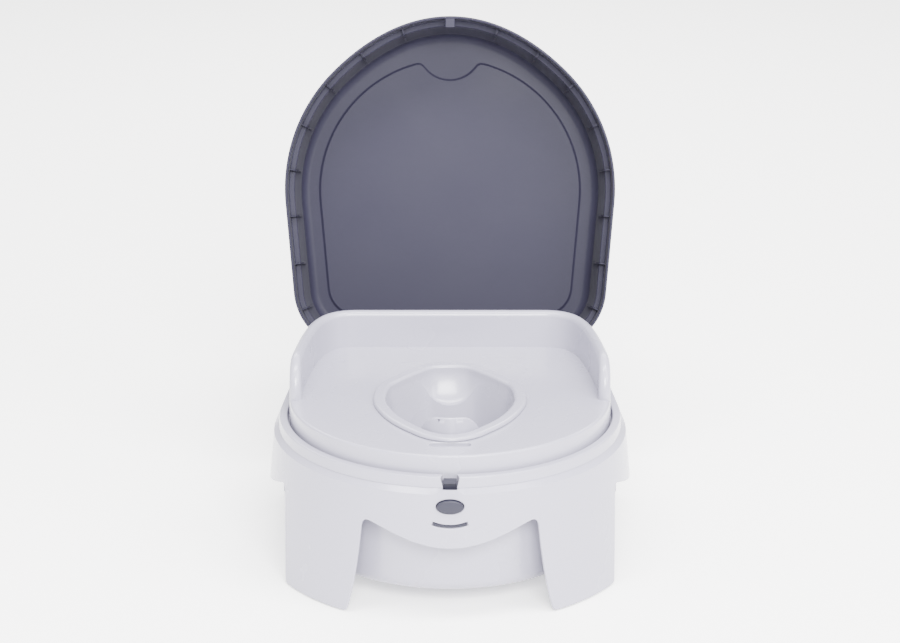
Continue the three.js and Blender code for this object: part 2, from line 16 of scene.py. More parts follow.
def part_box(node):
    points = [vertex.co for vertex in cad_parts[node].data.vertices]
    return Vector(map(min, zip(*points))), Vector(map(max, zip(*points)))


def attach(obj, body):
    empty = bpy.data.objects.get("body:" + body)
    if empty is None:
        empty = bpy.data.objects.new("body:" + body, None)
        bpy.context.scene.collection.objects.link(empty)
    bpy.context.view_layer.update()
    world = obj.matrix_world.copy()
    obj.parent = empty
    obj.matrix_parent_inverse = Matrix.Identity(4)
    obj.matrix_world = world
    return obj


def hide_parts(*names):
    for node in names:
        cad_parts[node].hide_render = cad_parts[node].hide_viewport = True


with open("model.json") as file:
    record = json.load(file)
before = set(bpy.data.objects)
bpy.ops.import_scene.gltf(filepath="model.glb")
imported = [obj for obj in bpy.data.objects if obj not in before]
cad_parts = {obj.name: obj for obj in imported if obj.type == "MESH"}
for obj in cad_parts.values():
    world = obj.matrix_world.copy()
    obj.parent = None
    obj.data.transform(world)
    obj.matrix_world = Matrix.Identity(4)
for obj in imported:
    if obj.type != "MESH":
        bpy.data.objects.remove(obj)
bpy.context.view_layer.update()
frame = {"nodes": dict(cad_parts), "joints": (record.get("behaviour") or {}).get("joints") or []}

MM = 0.001

# The CAD's driving sizes.
FRONT_RADIUS = 180
SIDE_TAPER = math.radians(5.2)
REAR_EDGE = 175
REAR_CORNER = 67
SHOULDER = 137.3
NECK_TOP = 148.5
SEAT_TOP = 166.3
WALL_TOP = 206
LID_LIP = 137.6
LID_TOP = 214.6
FLARE = 13.7
GUARD_TOP = 186
BULGE = 7.4
BULGE_ANGLE = math.radians(45)
HINGE_Y = 179.1
HINGE_Z = 145.8
HINGE_X = 70
LIP_SWING = 12.5
BUTTON_Z = 120.4
SLOT_HALF = 6.9
SLOT_FLARE = 2.3
SLOT_SPREAD = 0.006  # keeps the slot's sides parallel, although the plan curves in
SMILE_Z = 149.1
SMILE_RADIUS = 48.8
SEAT_RADIUS = 157.7
SEAT_REAR = 147.3
SEAT_STRAIGHT = 98  # half of the seat's straight rear edge
SEAT_SIDE_PULL = 105  # these two pull the curve round the seat's rear corner
SEAT_REAR_PULL = 40
LID_SKIN = 3
PANEL_INSET = 33
PANEL_BITE = 34
PANEL_BITE_Y = -158.0
SHARP = math.radians(38)

hinge = next(j for j in frame["joints"] if j["name"] == "lid_hinge")
LID_OPEN = math.radians(hinge["range_deg"][1])
ORIGIN_Y = hinge["pos_m"][1] - HINGE_Y * MM


# ---- Curves -------------------------------------------------------------------------------------


def arc(cx, cy, radius, start, end, count):
    """Points of a round arc between two angles."""
    turn = np.linspace(start, end, count)
    return np.stack([cx + radius * np.cos(turn), cy + radius * np.sin(turn)], 1)


def bezier(a, b, c, d, count):
    """Points of a cubic Bezier curve."""
    t = np.linspace(0, 1, count)[:, None]
    a, b, c, d = (np.array(p, float) for p in (a, b, c, d))
    return (1 - t) ** 3 * a + 3 * (1 - t) ** 2 * t * b + 3 * (1 - t) * t * t * c + t**3 * d


def mirrored(half):
    """A closed outline from its right half, which runs from the front centre to the rear centre."""
    half = np.array(half, float)
    other = half[::-1] * [-1, 1]
    return np.concatenate([half, other[1:-1]])


class Plan:
    """A closed plan with a place and an outward direction for each distance from the front centre."""

    def __init__(self, outline):
        closed = np.concatenate([outline, outline[:1]])
        step = np.linalg.norm(np.diff(closed, axis=0), axis=1)
        keep = np.concatenate([[True], step > 1e-9])
        closed = closed[keep]
        self.at = np.concatenate([[0], np.cumsum(step[step > 1e-9])])
        self.length = self.at[-1]
        self.xy = closed
        before = np.roll(closed[:-1], 1, axis=0)
        after = np.roll(closed[:-1], -1, axis=0)
        along = after - before
        along /= np.linalg.norm(along, axis=1)[:, None]
        out = np.stack([along[:, 1], -along[:, 0]], 1)
        self.out = np.concatenate([out, out[:1]])

    def point(self, s):
        s = np.mod(np.asarray(s, float), self.length)
        xy = [np.interp(s, self.at, self.xy[:, i]) for i in (0, 1)]
        out = [np.interp(s, self.at, self.out[:, i]) for i in (0, 1)]
        size = np.hypot(*out)
        return np.array(xy), np.array(out) / size

    def loop(self, offset, z, count=240):
        """Evenly spaced points of the plan, moved out by offset, at height z."""
        xy, out = self.point(np.arange(count) * self.length / count)
        moved = xy + out * offset
        return np.stack([moved[0], moved[1], np.broadcast_to(z, moved[0].shape)], 1)

    def where(self, axis, value, low, high):
        """The distances between low and high at which the plan has that X or Y."""
        s = np.linspace(low, high, 400)
        xy, _ = self.point(s)
        order = np.argsort(xy[axis])
        return np.interp(value, xy[axis][order], s[order])


def base_outline():
    """The base's plan: a half circle in front, tapering sides and a straight rear."""
    tangent = FRONT_RADIUS * np.array([math.cos(SIDE_TAPER), math.sin(SIDE_TAPER)])
    corner_y = REAR_EDGE - REAR_CORNER
    start_y = corner_y + REAR_CORNER * math.sin(SIDE_TAPER)
    start_x = tangent[0] - (start_y - tangent[1]) * math.tan(SIDE_TAPER)
    corner_x = start_x - REAR_CORNER * math.cos(SIDE_TAPER)
    quarter = math.pi / 2
    side = np.linspace(tangent, [start_x, start_y], 40)
    rear = np.linspace([corner_x, REAR_EDGE], [0, REAR_EDGE], 30)
    return mirrored(np.concatenate([
        arc(0, 0, FRONT_RADIUS, -quarter, SIDE_TAPER, 200)[:-1],
        side[:-1],
        arc(corner_x, corner_y, REAR_CORNER, SIDE_TAPER, quarter, 60)[:-1],
        rear,
    ]))


def seat_outline():
    """The seat's plan: a half circle in front and soft rear corners."""
    start = SEAT_RADIUS * np.array([math.cos(SIDE_TAPER), math.sin(SIDE_TAPER)])
    reach = start + SEAT_SIDE_PULL * np.array([-math.sin(SIDE_TAPER), math.cos(SIDE_TAPER)])
    corner = [SEAT_STRAIGHT, SEAT_REAR]
    return mirrored(np.concatenate([
        arc(0, 0, SEAT_RADIUS, -math.pi / 2, SIDE_TAPER, 200)[:-1],
        bezier(start, reach, [SEAT_STRAIGHT + SEAT_REAR_PULL, SEAT_REAR], corner, 120)[:-1],
        np.linspace(corner, [0, SEAT_REAR], 30),
    ]))


def smooth_closed(points, count):
    """A closed curve through the points: centripetal Catmull-Rom, as in the CAD."""
    points = np.array(points, float)
    size = len(points)
    made = []
    for i in range(size):
        p = [points[(i + k) % size] for k in (-1, 0, 1, 2)]
        knot = [0.0]
        for k in range(3):
            knot.append(knot[-1] + max(np.linalg.norm(p[k + 1] - p[k]) ** 0.5, 1e-6))
        t = np.linspace(knot[1], knot[2], count, endpoint=False)[:, None]

        def mix(a, b, ta, tb):
            return a * (tb - t) / (tb - ta) + b * (t - ta) / (tb - ta)

        a = [mix(p[k], p[k + 1], knot[k], knot[k + 1]) for k in range(3)]
        b = [mix(a[k], a[k + 1], knot[k], knot[k + 2]) for k in range(2)]
        made.append(mix(b[0], b[1], knot[1], knot[2]))
    return np.concatenate(made)


def bowl_outline():
    """The bowl's plan at its rim: broad in front, with a narrow lobe at the rear."""
    half = [
        [0, -131], [23, -123], [41, -105], [58, -82], [71, -54], [78, -23],
        [73, 20], [61, 39], [43, 62], [24, 80], [0, 84.5],
    ]
    return smooth_closed(mirrored(half), 16)


def bulged(plan):
    """The lid's plan: the base's plan with a bulge at the front."""
    xy = plan.xy[:-1]
    out = plan.out[:-1]
    turn = np.minimum(np.abs(np.arctan2(xy[:, 0], -xy[:, 1])) / BULGE_ANGLE, 1)
    return xy + out * (BULGE * (1 + np.cos(np.pi * turn)) / 2)[:, None]


def rounded(points, radii, steps=5):
    """An open polyline with its inner corners rounded. radii has one radius per inner corner."""
    points = [np.array(p, float) for p in points]
    made = [points[0]]
    for before, corner, after, radius in zip(points, points[1:], points[2:], radii):
        a = (before - corner) / np.linalg.norm(before - corner)
        b = (after - corner) / np.linalg.norm(after - corner)
        half = math.acos(float(np.clip(a @ b, -1, 1))) / 2
        if radius <= 0 or half > math.pi / 2 - 0.02:
            made.append(corner)
            continue
        reach = radius / math.tan(half)
        start, end = corner + a * reach, corner + b * reach
        centre = corner + (a + b) / np.linalg.norm(a + b) * radius / math.sin(half)
        for t in np.linspace(0, 1, steps + 1):
            way = (start - centre) * (1 - t) + (end - centre) * t
            made.append(centre + way / np.linalg.norm(way) * radius)
    made.append(points[-1])
    return np.array(made)


def inset(outline, distance):
    """A closed outline moved to its left: inwards if it runs counter-clockwise."""
    edge = np.roll(outline, -1, axis=0) - outline
    edge /= np.linalg.norm(edge, axis=1)[:, None]
    left = np.stack([-edge[:, 1], edge[:, 0]], 1)
    before = np.roll(left, 1, axis=0)
    dot = np.clip((left * before).sum(1), -0.5, 1)
    return outline + distance * (left + before) / (1 + dot)[:, None]


def resampled(outline, spacing):
    """A closed outline with corners kept, its long edges cut to about the spacing."""
    made = []
    for a, b in zip(outline, np.roll(outline, -1, axis=0)):
        count = max(1, int(round(np.linalg.norm(b - a) / spacing)))
        made.extend(a + (b - a) * i / count for i in range(count))
    return np.array(made)


def oval_outline(half_x, half_y, count=64):
    turn = np.linspace(0, 2 * np.pi, count, endpoint=False)
    return np.stack([half_x * np.cos(turn), half_y * np.sin(turn)], 1)


def box_outline(low_x, high_x, low_y, high_y, radius, steps=6):
    quarter = math.pi / 2
    corners = [
        (high_x - radius, high_y - radius, 0),
        (low_x + radius, high_y - radius, 1),
        (low_x + radius, low_y + radius, 2),
        (high_x - radius, low_y + radius, 3),
    ]
    return np.concatenate([
        arc(x, y, radius, quarter * k, quarter * (k + 1), steps + 1) for x, y, k in corners
    ])


def inside(points, outlines):
    """Which points lie inside an odd number of the outlines."""
    found = np.zeros(len(points), bool)
    x, y = points[:, 0], points[:, 1]
    for outline in outlines:
        for (ax, ay), (bx, by) in zip(outline, np.roll(outline, -1, axis=0)):
            if ay == by:
                continue
            crosses = (ay > y) != (by > y)
            at = ax + (y - ay) * (bx - ax) / (by - ay)
            found ^= crosses & (x < at)
    return found


# ---- Skins --------------------------------------------------------------------------------------


class Skin:
    """The points and faces of one piece, in millimetres."""

    def __init__(self):
        self.points = []
        self.faces = []

    def add(self, points):
        start = len(self.points)
        self.points.extend(tuple(float(c) for c in p) for p in points)
        return list(range(start, len(self.points)))

    def rows(self, rows, closed=True):
        """Quads between rows of points that were added already."""
        for a, b in zip(rows, rows[1:]):
            count = len(a) if closed else len(a) - 1
            for i in range(count):
                j = (i + 1) % len(a)
                self.faces.append((a[i], a[j], b[j], b[i]))

    def fill(self, rows, axes=(0, 1)):
        """Triangles of the flat area between closed rows: the outer one first, then holes."""
        flat = [np.array([[self.points[i][k] for k in axes] for i in row]) for row in rows]
        ids = [i for row in rows for i in row]
        _, faces, source = triangulated(flat, [])
        for face in faces:
            self.faces.append(tuple(ids[source[v]] for v in face))

    def made(self, name, material, body, slot, replaces, move=None):
        """The finished Blender piece, riding on a body and standing for CAD nodes."""
        mesh = bpy.data.meshes.new(name)
        points = np.array(self.points) * MM
        points[:, 1] += ORIGIN_Y
        mesh.from_pydata(points.tolist(), [], self.faces)
        if move is not None:
            mesh.transform(move)
        work = bmesh.new()
        work.from_mesh(mesh)
        bmesh.ops.remove_doubles(work, verts=work.verts, dist=1e-6)
        bmesh.ops.dissolve_degenerate(work, edges=work.edges, dist=1e-7)
        bmesh.ops.recalc_face_normals(work, faces=work.faces)
        work.to_mesh(mesh)
        work.free()
        smooth(mesh)
        mesh.materials.append(material)
        piece = bpy.data.objects.new(name, mesh)
        bpy.context.scene.collection.objects.link(piece)
        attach(piece, body)
        if replaces:
            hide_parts(*replaces)
        return piece


def smooth(mesh):
    """Smooth shading in which large faces stay flat: each corner takes the area-weighted normal of
    the faces round it that lie within a sharp angle of its own face."""
    mesh.shade_smooth()
    mesh.set_sharp_from_angle(angle=SHARP)
    loops = len(mesh.loops)
    loop_vertex = np.zeros(loops, np.int64)
    mesh.loops.foreach_get("vertex_index", loop_vertex)
    polygons = len(mesh.polygons)
    normal = np.zeros(polygons * 3)
    mesh.polygons.foreach_get("normal", normal)
    normal = normal.reshape(-1, 3)
    area = np.zeros(polygons)
    mesh.polygons.foreach_get("area", area)
    total = np.zeros(polygons, np.int64)
    mesh.polygons.foreach_get("loop_total", total)
    loop_face = np.repeat(np.arange(polygons), total)
    order = np.argsort(loop_vertex, kind="stable")
    starts = np.searchsorted(loop_vertex[order], np.arange(len(mesh.vertices) + 1))
    made = np.zeros((loops, 3))
    limit = math.cos(SHARP)
    for v in range(len(mesh.vertices)):
        around = order[starts[v]:starts[v + 1]]
        faces = loop_face[around]
        n = normal[faces]
        near = (n @ n.T) > limit
        made[around] = (near * area[faces][None, :]) @ n
    size = np.linalg.norm(made, axis=1)
    made[size > 0] /= size[size > 0][:, None]
    mesh.normals_split_custom_set(made.tolist())


def triangulated(outlines, extra):
    """Triangles that fill the area between closed outlines and use the extra points."""
    coords, edges = [], []
    for outline in outlines:
        start, count = len(coords), len(outline)
        coords.extend(Vector((float(p[0]), float(p[1]))) for p in outline)
        edges.extend((start + i, start + (i + 1) % count) for i in range(count))
    coords.extend(Vector((float(p[0]), float(p[1]))) for p in extra)
    verts, _, faces, source, _, _ = geometry.delaunay_2d_cdt(coords, edges, [], 0, 1e-7)
    flat = np.array([[v.x, v.y] for v in verts])
    centres = np.array([flat[list(f)].mean(0) for f in faces])
    kept = inside(centres, outlines)
    return flat, [f for f, k in zip(faces, kept) if k], [s[0] if s else -1 for s in source]


def grid_inside(outlines, step_u, step_v):
    """Grid points inside the outlines that keep clear of their edges."""
    every = np.concatenate(outlines)
    low, high = every.min(0), every.max(0)
    u = np.arange(low[0] + step_u / 2, high[0], step_u)
    v = np.arange(low[1] + step_v / 2, high[1], step_v)
    grid = np.stack(np.meshgrid(u, v), -1).reshape(-1, 2)
    grid = grid[inside(grid, outlines)]
    near = np.array([np.min(((every - p) / [step_u, step_v]) ** 2 @ [1, 1]) for p in grid])
    return grid[near > 0.25]


def sheet(skin, outlines, place, thickness, outer_edge, inner_edge, step_u, step_v):
    """A moulded sheet with rounded rims. place(u, v, depth) gives points that far under its outer
    face. The first outline runs counter-clockwise, and holes run clockwise."""
    quarter = np.linspace(0, math.pi / 2, 5)
    rims = [(outer_edge * (1 - math.sin(a)), outer_edge * (1 - math.cos(a))) for a in quarter]
    rims += [
        (inner_edge * (1 - math.cos(a)), thickness - inner_edge * (1 - math.sin(a))) for a in quarter
    ]
    sides = {0: [], len(rims) - 1: []}
    for outline in outlines:
        rows = []
        for k, (inward, depth) in enumerate(rims):
            line = inset(outline, inward)
            rows.append(skin.add(place(line[:, 0], line[:, 1], np.full(len(line), depth))))
            if k in sides:
                sides[k].append((line, rows[-1]))
        skin.rows(rows)
    for k, pairs in sides.items():
        depth = rims[k][1]
        lines = [line for line, _ in pairs]
        extra = grid_inside(lines, step_u, step_v)
        ids = [i for _, row in pairs for i in row]
        ids += skin.add(place(extra[:, 0], extra[:, 1], np.full(len(extra), depth)))
        _, faces, source = triangulated(lines, extra)
        skin.faces.extend(tuple(ids[source[v]] for v in face) for face in faces)


def standing_wall(skin, plan, outline, half, middle=0.0, step_u=5, step_v=6):
    """A wall that stands on a plan line and has a full round rim. half(z) is half its thickness."""

    def place(line, share):
        xy, out = plan.point(line[:, 0])
        moved = xy + out * (middle + share * half(line[:, 1]))
        return np.stack([moved[0], moved[1], line[:, 1]], 1)

    thick = float(half(np.array([outline[:, 1].max()]))[0])
    turns = np.linspace(0, math.pi / 2, 8)
    lines = [inset(outline, thick * (1 - math.cos(a))) for a in turns]
    crest = skin.add(place(lines[0], 0))
    extra = grid_inside([lines[-1]], step_u, step_v)
    for side in (1, -1):
        rows = [crest]
        rows += [skin.add(place(line, side * math.sin(a))) for line, a in zip(lines[1:], turns[1:])]
        skin.rows(rows)
        ids = rows[-1] + skin.add(place(extra, side))
        _, faces, source = triangulated([lines[-1]], extra)
        skin.faces.extend(tuple(ids[source[v]] for v in face) for face in faces)


def prism(skin, outline, low, high, edge, place, dome=0.0):
    """A straight piece with the given outline and rounded edges. place(u, v, w) gives points."""
    quarter = np.linspace(0, math.pi / 2, 5)
    rims = [(edge * (1 - math.sin(a)), low + edge * (1 - math.cos(a))) for a in quarter]
    rims += [(edge * (1 - math.cos(a)), high - edge * (1 - math.sin(a))) for a in quarter]
    rows = []
    for inward, w in rims:
        line = inset(outline, inward)
        rows.append(skin.add(place(line[:, 0], line[:, 1], np.full(len(line), w))))
    skin.rows(rows)
    centre = outline.mean(0)
    for row, w, rise in ((rows[0], low, -dome), (rows[-1], high, 0.0)):
        line = inset(outline, edge)
        if not rise:
            skin.faces.append(tuple(row))
            continue
        crown = [row]
        for share in (0.8, 0.55, 0.3, 0.1):
            ring = centre + (line - centre) * share
            height = w + rise * (1 - share**2)
            crown.append(skin.add(place(ring[:, 0], ring[:, 1], np.full(len(ring), height))))
        skin.rows(crown)
        skin.faces.append(tuple(crown[-1]))


def from_front(u, v, w):
    """Places an outline drawn in (x, z) and its depth along Y."""
    return np.stack([u, w, v], 1)


def from_side(u, v, w):
    """Places an outline drawn in (y, z) and its depth along X."""
    return np.stack([w, u, v], 1)


def from_top(u, v, w):
    """Places an outline drawn in (x, y) and its height."""
    return np.stack([u, v, w], 1)


def flat_row(skin, outline, z):
    """A level row of points on an outline."""
    return skin.add(from_top(outline[:, 0], outline[:, 1], np.full(len(outline), z)))


BASE = Plan(base_outline())
SEAT = Plan(seat_outline())
BOWL = Plan(bowl_outline())
LID = Plan(bulged(BASE))


# ---- Materials ----------------------------------------------------------------------------------


def plastic(
    name, colour, roughness, grain=0.012, grain_scale=900, mottle=0.012, coat=0.0, specular=0.5, sheen=0.0
):
    """Moulded plastic: a faint cloudiness in colour and gloss, and a very fine moulded grain."""
    material = bpy.data.materials.new(name)
    material.use_nodes = True
    nodes, links = material.node_tree.nodes, material.node_tree.links
    shader = nodes["Principled BSDF"]
    shader.inputs["IOR"].default_value = 1.48
    shader.inputs["Coat Weight"].default_value = coat
    shader.inputs["Coat Roughness"].default_value = 0.16
    shader.inputs["Specular IOR Level"].default_value = specular
    shader.inputs["Sheen Weight"].default_value = sheen
    where = nodes.new("ShaderNodeTexCoord")
    cloud = nodes.new("ShaderNodeTexNoise")
    cloud.inputs["Scale"].default_value = 14
    cloud.inputs["Detail"].default_value = 3
    links.new(where.outputs["Object"], cloud.inputs["Vector"])
    tint = nodes.new("ShaderNodeMix")
    tint.data_type = "RGBA"
    tint.inputs[6].default_value = (*[c * (1 - mottle) for c in colour], 1)
    tint.inputs[7].default_value = (*[min(1, c * (1 + mottle)) for c in colour], 1)
    links.new(cloud.outputs["Fac"], tint.inputs[0])
    links.new(tint.outputs[2], shader.inputs["Base Color"])
    gloss = nodes.new("ShaderNodeMapRange")
    gloss.inputs["To Min"].default_value = roughness * 0.9
    gloss.inputs["To Max"].default_value = roughness * 1.1
    links.new(cloud.outputs["Fac"], gloss.inputs["Value"])
    links.new(gloss.outputs["Result"], shader.inputs["Roughness"])
    fine = nodes.new("ShaderNodeTexNoise")
    fine.inputs["Scale"].default_value = grain_scale
    fine.inputs["Detail"].default_value = 2
    links.new(where.outputs["Object"], fine.inputs["Vector"])
    bump = nodes.new("ShaderNodeBump")
    bump.inputs["Strength"].default_value = grain
    bump.inputs["Distance"].default_value = 0.0004
    links.new(fine.outputs["Fac"], bump.inputs["Height"])
    links.new(bump.outputs["Normal"], shader.inputs["Normal"])
    return material


def rubber(name, colour):
    """Soft rubber: matt, with a fine pebble grain."""
    return plastic(name, colour, 0.8, grain=0.5, grain_scale=420, mottle=0.06, specular=0.3)


def metal(name):
    """Drawn steel: fine streaks along X."""
    material = bpy.data.materials.new(name)
    material.use_nodes = True
    nodes, links = material.node_tree.nodes, material.node_tree.links
    shader = nodes["Principled BSDF"]
    shader.inputs["Base Color"].default_value = (0.62, 0.63, 0.65, 1)
    shader.inputs["Metallic"].default_value = 1
    where = nodes.new("ShaderNodeTexCoord")
    stretch = nodes.new("ShaderNodeMapping")
    stretch.inputs["Scale"].default_value = (20, 900, 900)
    streak = nodes.new("ShaderNodeTexNoise")
    streak.inputs["Scale"].default_value = 1
    links.new(where.outputs["Object"], stretch.inputs["Vector"])
    links.new(stretch.outputs["Vector"], streak.inputs["Vector"])
    gloss = nodes.new("ShaderNodeMapRange")
    gloss.inputs["To Min"].default_value = 0.22
    gloss.inputs["To Max"].default_value = 0.38
    links.new(streak.outputs["Fac"], gloss.inputs["Value"])
    links.new(gloss.outputs["Result"], shader.inputs["Roughness"])
    return material


white = plastic("white_plastic_look", (0.29, 0.281, 0.350), 0.27, coat=0.3)
slate = plastic(
    "slate_plastic_look", (0.0122, 0.0112, 0.0216), 0.45, grain=0.03, specular=0.10, sheen=0.03)
grey = plastic("grey_plastic_look", (0.020, 0.0195, 0.030), 0.38, grain=0.02, specular=0.2)
mat_look = rubber("mat_rubber_look", (0.012, 0.012, 0.018))
pad_look = rubber("pad_rubber_look", (0.010, 0.010, 0.012))
steel = metal("steel_look")


# ---- Base ---------------------------------------------------------------------------------------

SKIRT_SHEET = 2.9
SKIRT_LOW = 1.5
SKIRT_BEND = 136.2
SKIRT_SLOPE = (FLARE - 0.1) / (SKIRT_BEND - SKIRT_LOW)
SKIRT = rounded([[FLARE, SKIRT_LOW], [0.0, SHOULDER], [-18.6, SHOULDER + 0.5]], [3.1], 8)
SKIRT_AT = np.concatenate([[0], np.cumsum(np.linalg.norm(np.diff(SKIRT, axis=0), axis=1))])
SKIRT_LENGTH = SKIRT_AT[-1]
APRON_LOW = 78  # the lowest point of the front and side aprons
SIDE_APRON_TOP = 98.8
FRONT_APRON_TOP = 98.9
APRON_CREST = 102.2
LEG_TOP = 92
REAR_APRON = 108
FOOT_ROUND = 4
EAR_RADIUS = 3.8
EAR_WIDTH = 6
EAR_OFFSET = 18.3
EAR_FOOT = 118
SLOT_SPAN = [1.9, 16.0]  # how far in from the plan the latch slot starts and ends


def skirt_place(u, v, depth):
    """Points of the skirt's sheet: u runs round the plan, v up the skirt and in over the shoulder."""
    along = np.diff(SKIRT, axis=0)
    along = np.concatenate([along[:1], (along[1:] + along[:-1]), along[-1:]])
    along /= np.linalg.norm(along, axis=1)[:, None]
    out_at, z_at = (np.interp(v, SKIRT_AT, SKIRT[:, k]) for k in (0, 1))
    dir_out, dir_z = (np.interp(v, SKIRT_AT, along[:, k]) for k in (0, 1))
    size = np.hypot(dir_out, dir_z)
    out = out_at - depth * dir_z / size
    z = z_at + depth * dir_out / size
    xy, normal = BASE.point(u)
    moved = xy + normal * out
    return np.stack([moved[0], moved[1], z], 1)


def skirt_height(z):
    """How far up the skirt's sheet a height is."""
    return (np.asarray(z, float) - SKIRT_LOW) * math.hypot(1, SKIRT_SLOPE)


def skirt_u(axis, value, z, low, high):
    """Where, round the plan, the skirt has that X or Y at height z."""
    s = np.linspace(low, high, 500)
    xy, out = BASE.point(s)
    found = []
    for target, height in zip(value, z):
        across = xy[axis] + out[axis] * (SKIRT_BEND - height) * SKIRT_SLOPE
        order = np.argsort(across)
        found.append(np.interp(target, across[order], s[order]))
    return np.array(found)


def quadratic(a, b, c, count):
    """Points of a quadratic Bezier curve."""
    a, b, c = (np.array(p, float) for p in (a, b, c))
    return bezier(a, a + (b - a) * 2 / 3, c + (b - c) * 2 / 3, c, count)


def chain(*parts):
    """Curves joined end to end, each shared point kept once."""
    return np.concatenate([p[:-1] for p in parts[:-1]] + [parts[-1]])


def skirt_outline():
    """The edge of the skirt's sheet in (u, v), counter-clockwise from the front centre's apron:
    the right front leg, the side arch, the right rear leg, half the rear arch, and the mirror."""
    foot, ankle = SKIRT_LOW, SKIRT_LOW + FOOT_ROUND
    low, leg, crest, rear_top = APRON_LOW, LEG_TOP, APRON_CREST, REAR_APRON
    front_top, side_top = FRONT_APRON_TOP, SIDE_APRON_TOP
    front = chain(
        bezier([0, low], [28, low], [50, 88], [77, front_top], 22),
        quadratic([77, front_top], [85.5, crest], [86.8, leg], 7),
        quadratic([86.8, leg], [92.3, 38], [101.6, ankle], 16),
        quadratic([101.6, ankle], [102.6, foot], [106.5, foot], 5),
    )
    side = chain(
        quadratic([-104, foot], [-100, foot], [-98.8, ankle], 5),
        quadratic([-98.8, ankle], [-90.5, 45], [-80.8, leg], 16),
        quadratic([-80.8, leg], [-79.3, crest], [-71, side_top], 7),
        bezier([-71, side_top], [-42, 88], [-16, low], [12, low], 22),
        bezier([12, low], [40, low], [66, 88], [95, side_top], 22),
        quadratic([95, side_top], [103.3, crest], [104.6, leg], 7),
        quadratic([104.6, leg], [115, 45], [126, ankle], 16),
        quadratic([126, ankle], [127, foot], [131, foot], 5),
    )
    rear = chain(
        quadratic([112, foot], [107.6, foot], [107.2, ankle], 5),
        np.linspace([107.2, ankle], [94.2, 101.5], 12),
        quadratic([94.2, 101.5], [93, rear_top], [86, rear_top], 7),
        np.linspace([86, rear_top], [0, rear_top], 20),
    )
    half = BASE.length / 2
    quarter = math.pi / 2 * FRONT_RADIUS
    u_front = skirt_u(0, front[:, 0], front[:, 1], 0, quarter)
    u_side = skirt_u(1, side[:, 0], side[:, 1], 0.2 * quarter, half - 95)
    u_rear = skirt_u(0, rear[:, 0], rear[:, 1], half - 260, half)
    leg_front = np.stack([np.linspace(u_front[-1], u_side[0], 14)[1:-1], np.full(12, foot)], 1)
    leg_rear = np.stack([np.linspace(u_side[-1], u_rear[0], 24)[1:-1], np.full(22, foot)], 1)
    lower = np.concatenate([
        np.stack([u_front, front[:, 1]], 1), leg_front,
        np.stack([u_side, side[:, 1]], 1), leg_rear,
        np.stack([u_rear, rear[:, 1]], 1),
    ])
    lower[:, 1] = skirt_height(lower[:, 1])
    return lower


def smile_band(half_height, half_turn, count):
    """The curved bar under the button, or its opening, counter-clockwise in (x, z)."""
    turn = np.linspace(-half_turn, half_turn, count) - math.pi / 2
    low_side, high_side = (
        np.stack([reach * np.cos(turn), SMILE_Z + reach * np.sin(turn)], 1)
        for reach in (SMILE_RADIUS + half_height, SMILE_RADIUS - half_height)
    )
    return np.concatenate([low_side, high_side[::-1]])


def base_visual():
    skin = Skin()
    half = skirt_outline()
    total = BASE.length
    # The sheet is cut open at the rear centre, so u runs from minus half the plan to plus half.
    left = half[::-1] * [-1, 1]
    top = np.stack([np.linspace(total / 2, -total / 2, 240), np.full(240, SKIRT_LENGTH)], 1)
    rear_low = half[-1, 1]
    rise = np.stack([np.full(16, total / 2), np.linspace(rear_low, SKIRT_LENGTH, 18)[1:-1]], 1)
    outline = np.concatenate([left[:-1], half, rise, top, rise[::-1] * [-1, 1]])
    outline = resampled(outline, 4.5)
    button = oval_outline(13.6, 7.4)[::-1] + [0, skirt_height(BUTTON_Z)]
    smile = smile_band(1.8, 0.355, 16)[::-1].copy()
    smile[:, 1] = skirt_height(smile[:, 1])
    slot_low, slot_high = np.interp(SLOT_SPAN, -SKIRT[:, 0], SKIRT_AT)
    slot = resampled(box_outline(-SLOT_HALF, SLOT_HALF, slot_low, slot_high, 0.8, 3), 2)[::-1]
    slot[:, 0] *= 1 - SLOT_SPREAD * np.interp(slot[:, 1], SKIRT_AT, SKIRT[:, 0])
    sheet(skin, [outline, button, smile, slot], skirt_place, SKIRT_SHEET, 1.1, 0.6, 7, 9)
    neck(skin)
    well(skin)
    foot_flanges(skin)
    for side in (-1, 1):
        for end in (-1, 1):
            ear(skin, side * HINGE_X + end * EAR_OFFSET)
    return skin.made("base_moulding", white, "base", "white_plastic", ["base_shell"])


def neck(skin):
    """The neck that the lid closes round. The latch slot at its front centre flares outwards, and
    the rear keeps clear of the lid's lip as it swings by."""
    low, ledge = 134.6, 140
    neck_inside, ledge_inside = -13.6, -18.8
    profile = rounded(
        [[-12, low], [-4.5, 137.6], [-5.5, NECK_TOP], [neck_inside, NECK_TOP], [neck_inside, ledge],
         [ledge_inside, ledge], [ledge_inside, low]],
        [0, 1.6, 1.4, 0.8, 1.0], 5)
    rows = []
    for offset, z in profile:
        flare = SLOT_FLARE * float(np.clip((offset + 12) / 6, 0, 1))
        above_skirt = float(np.clip((z - SHOULDER - 0.5) / 0.5, 0, 1))
        start = SLOT_HALF * (1 - SLOT_SPREAD * offset) + flare * above_skirt
        s_line = np.linspace(start, BASE.length - start, 300)
        xy, out = BASE.point(s_line)
        moved = xy + out * offset
        if z > SHOULDER + 1:
            moved[1] = np.minimum(moved[1], HINGE_Y - math.sqrt(LIP_SWING**2 - (z - HINGE_Z) ** 2))
        rows.append(skin.add(np.stack([moved[0], moved[1], np.full(len(s_line), z)], 1)))
    rows.append(rows[0])
    skin.rows(rows, closed=False)
    skin.faces.append(tuple(row[0] for row in rows[:-1]))
    skin.faces.append(tuple(row[-1] for row in rows[:-1]))


